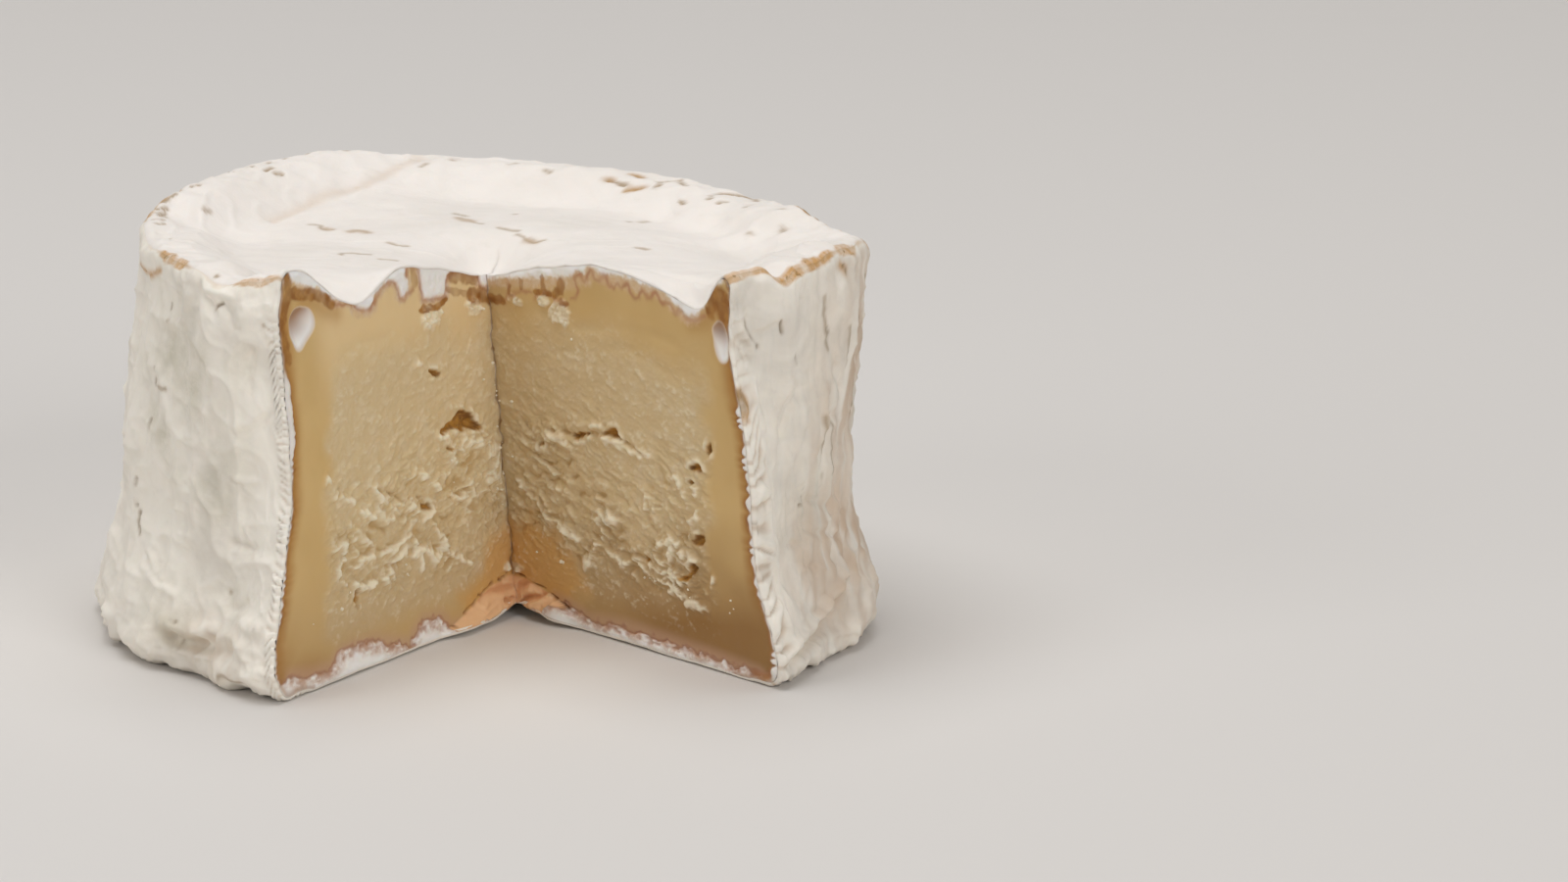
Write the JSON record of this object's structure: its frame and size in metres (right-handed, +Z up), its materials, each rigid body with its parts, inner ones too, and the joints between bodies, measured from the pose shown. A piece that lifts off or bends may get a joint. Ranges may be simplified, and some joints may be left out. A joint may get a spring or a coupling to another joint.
{
  "type": "chaource cheese",
  "caption": "Small soft-ripened cheese drum with a bloomy rind and one wedge cut out, showing its chalky paste and creamy edge.",
  "frame": {"origin": "on the surface that the cheese stands on, under the middle of its extents", "axes": "+Z up; the cut-out wedge opens towards -Y, with its right wall, seen from there, towards +X"},
  "size_m": [0.119, 0.109, 0.0629],
  "materials": {
    "rind": "matt, velvety white mould rind, greyer on the side; the cut paste is moist ivory to straw yellow with a soft sheen"
  },
  "bodies": {
    "root": {"cheese": "rind"}
  },
  "joints": []
}
